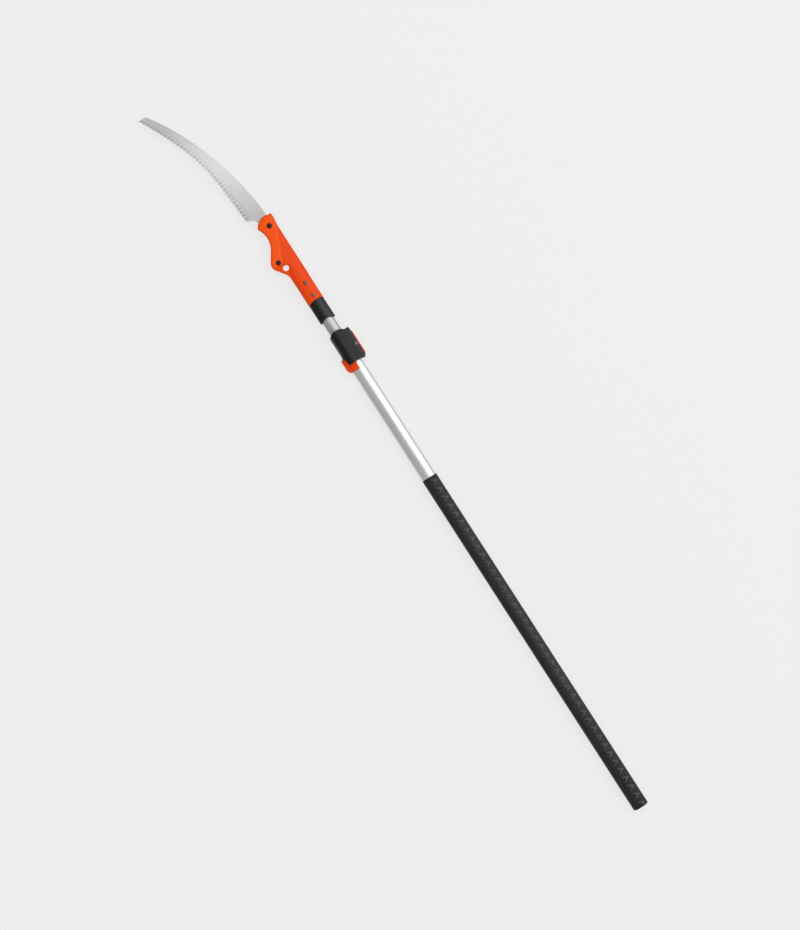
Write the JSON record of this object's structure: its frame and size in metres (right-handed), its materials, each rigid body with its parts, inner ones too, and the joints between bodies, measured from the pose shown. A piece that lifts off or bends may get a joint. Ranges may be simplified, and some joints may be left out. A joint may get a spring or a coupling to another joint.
{
  "type": "telescoping pole saw",
  "caption": "Pruning saw with a curved blade bolted in a slotted head, on a slim oval pole that telescopes in a gripped outer pole and is locked by a cam lever.",
  "frame": {"origin": "centre of the flat end face of the butt cap, on the poles' common axis", "axes": "+X along the poles from the butt to the blade; +Y towards the side that the teeth face; +Z square to the flat of the blade, on the side of the screw heads and the lever's cover"},
  "size_m": [1.8278, 0.1428, 0.0366],
  "materials": {
    "anodised_aluminium": "natural anodised, satin",
    "grip_rubber": "matte with a raised chevron pattern",
    "black_plastic": "fine moulded texture",
    "orange_plastic": "satin moulded plastic",
    "blade_steel": "satin hard-chromed, ground teeth",
    "zinc_plated_steel": "bright zinc plating",
    "black_oxide_steel": "black oxide"
  },
  "bodies": {
    "outer": {"outer_pole": "anodised_aluminium", "grip_sleeve": "grip_rubber", "butt_cap": "black_plastic", "mouth_bush": "black_plastic", "clamp_collar": "orange_plastic", "collar_rivet_1": "anodised_aluminium", "collar_rivet_2": "anodised_aluminium", "clamp_bolt": "zinc_plated_steel", "bolt_washer": "zinc_plated_steel", "cam_plate": "zinc_plated_steel", "pivot_dowel": "zinc_plated_steel"},
    "lever": {"lock_lever": "black_plastic"},
    "inner": {"inner_pole": "anodised_aluminium", "guide_shoe": "black_plastic", "shoe_rivet": "anodised_aluminium", "ferrule": "black_plastic", "saw_head": "orange_plastic", "blade": "blade_steel", "upper_bolt": "black_oxide_steel", "upper_nut": "zinc_plated_steel", "lower_bolt": "black_oxide_steel", "lower_nut": "zinc_plated_steel", "head_rivet_1": "anodised_aluminium", "head_rivet_2": "anodised_aluminium"}
  },
  "joints": [
    {"name": "pole_slide", "type": "slide", "parent": "outer", "child": "inner", "axis": [1, 0, 0], "range_m": [0, 0.8]},
    {"name": "lever_open", "type": "hinge", "parent": "outer", "child": "lever", "pos_m": [1.172, -0.0216, 0.015], "axis": [1, 0, 0], "range_deg": [0, 150]}
  ]
}
